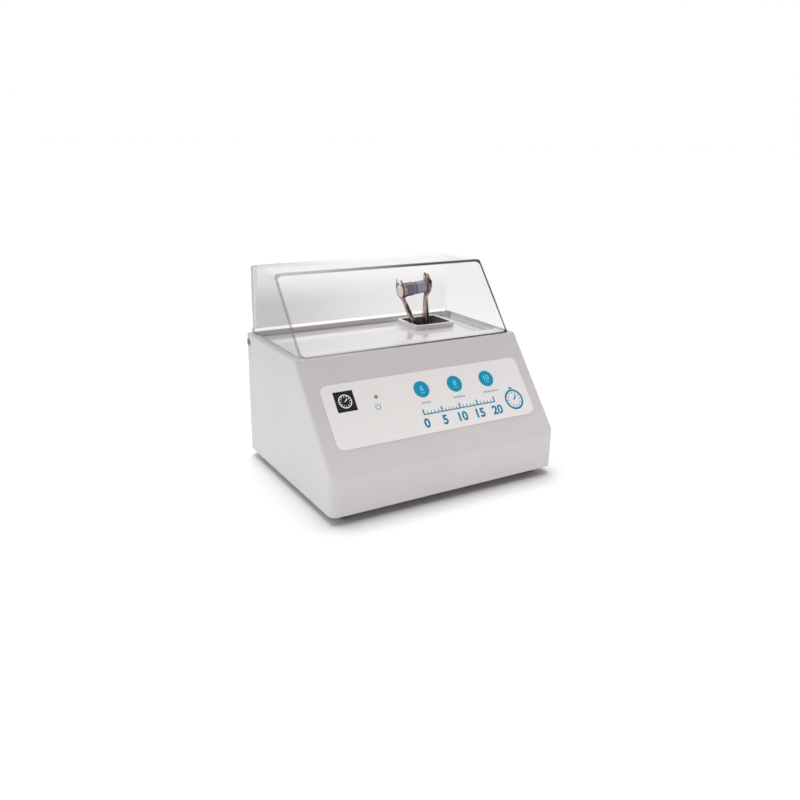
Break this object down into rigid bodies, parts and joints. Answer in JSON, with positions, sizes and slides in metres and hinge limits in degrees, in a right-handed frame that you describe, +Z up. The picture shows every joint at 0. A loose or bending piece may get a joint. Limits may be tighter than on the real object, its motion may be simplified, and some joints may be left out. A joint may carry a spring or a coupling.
{
  "type": "dental amalgamator",
  "caption": "Bench mixer for dental capsules: a sloped housing with a keypad and a clear hinged lid over a wobbling fork that grips a capsule.",
  "frame": {"origin": "middle of the footprint, on the surface that the rubber feet stand on", "axes": "+X to the right as seen from the front, +Y to the back, +Z up; the keypad slope faces -Y"},
  "size_m": [0.2108, 0.163, 0.1685],
  "materials": {
    "housing": "fine moulded texture, warm light grey",
    "deck": "gloss",
    "collar": "satin",
    "clear_lid": "clear, polished",
    "label": "printed film, satin",
    "keys": "satin",
    "rubber": "matt",
    "base_steel": "zinc plated sheet",
    "screws": "plated",
    "board_green": "solder mask",
    "black_plastic": "fine texture",
    "lamp": "clear tinted",
    "motor_steel": "satin",
    "magnet": "ground",
    "brass": "bright",
    "copper": "enamelled copper",
    "bright_steel": "ground",
    "fork_steel": "bright rolled, slightly brown",
    "capsule": "satin, lavender grey",
    "fuse_glass": "clear"
  },
  "bodies": {
    "chassis": {"housing_shell": "housing", "deck_plate": "deck", "arm_collar": "collar", "base_plate": "base_steel", "rubber_feet": "rubber", "foot_screws": "screws", "case_screws": "screws", "keypad_label": "label", "key_board": "board_green", "key_switches": "black_plastic", "board_screws": "screws", "power_lamp": "lamp", "drive_frame": "base_steel", "vibration_mounts": "rubber", "mount_screws": "screws", "motor_can": "motor_steel", "motor_front_bell": "motor_steel", "motor_rear_bell": "black_plastic", "field_magnets": "magnet", "brush_holders": "brass", "motor_screws": "screws", "shaft_bearings": "bright_steel", "restraint_springs": "bright_steel", "control_board": "board_green", "board_components": "black_plastic", "transformer_core": "motor_steel", "transformer_coil": "copper", "mains_inlet": "black_plastic", "inlet_blades": "brass", "inlet_screws": "screws", "switch_bezel": "black_plastic", "hinge_pins": "bright_steel", "lid_switch": "fuse_glass"},
    "lid": {"clear_lid": "clear_lid", "lid_magnet": "magnet"},
    "rotor": {"motor_shaft": "bright_steel", "armature_core": "motor_steel", "armature_windings": "copper", "commutator": "copper", "cooling_fan": "black_plastic", "wobble_journal": "bright_steel", "counterweights": "motor_steel"},
    "fork": {"hub_bearing": "bright_steel", "fork_hub": "fork_steel", "left_arm": "fork_steel", "right_arm": "fork_steel", "left_claw": "fork_steel", "right_claw": "fork_steel", "fork_screws": "screws", "capsule_body": "capsule", "capsule_cap": "capsule"},
    "key_1": {"key_1": "keys"},
    "key_2": {"key_2": "keys"},
    "key_3": {"key_3": "keys"},
    "rocker": {"switch_rocker": "black_plastic"},
    "drawer": {"fuse_drawer": "black_plastic", "fuses": "fuse_glass"}
  },
  "joints": [
    {"name": "lid_hinge", "type": "hinge", "parent": "chassis", "child": "lid", "pos_m": [0, 0.0739, 0.1042], "axis": [-1, 0, 0], "range_deg": [0, 100]},
    {"name": "rotor_spin", "type": "hinge", "parent": "chassis", "child": "rotor", "pos_m": [0.05775, 0.055, 0.0758], "axis": [1, 0, 0], "continuous": true, "deforming": ["restraint_springs"]},
    {"name": "fork_nutation", "type": "hinge", "parent": "rotor", "child": "fork", "pos_m": [0.05775, 0.055, 0.0758], "axis": [0.9959, 0, 0.0906], "continuous": true},
    {"name": "key_1_press", "type": "slide", "parent": "chassis", "child": "key_1", "axis": [0, 0.7747, -0.6324], "range_m": [0, 0.0005], "stiffness_N_per_m": 2000, "springref_m": -0.0003},
    {"name": "key_2_press", "type": "slide", "parent": "chassis", "child": "key_2", "axis": [0, 0.7747, -0.6324], "range_m": [0, 0.0005], "stiffness_N_per_m": 2000, "springref_m": -0.0003},
    {"name": "key_3_press", "type": "slide", "parent": "chassis", "child": "key_3", "axis": [0, 0.7747, -0.6324], "range_m": [0, 0.0005], "stiffness_N_per_m": 2000, "springref_m": -0.0003},
    {"name": "rocker_tilt", "type": "hinge", "parent": "chassis", "child": "rocker", "pos_m": [-0.022, 0.0777, 0.0375], "axis": [1, 0, 0], "range_deg": [0, 16]},
    {"name": "fuse_drawer_slide", "type": "slide", "parent": "chassis", "child": "drawer", "axis": [0, 1, 0], "range_m": [0, 0.019]}
  ],
  "couplings": [
    {"joint": "fork_nutation", "follows": "rotor_spin", "ratio": -1}
  ]
}
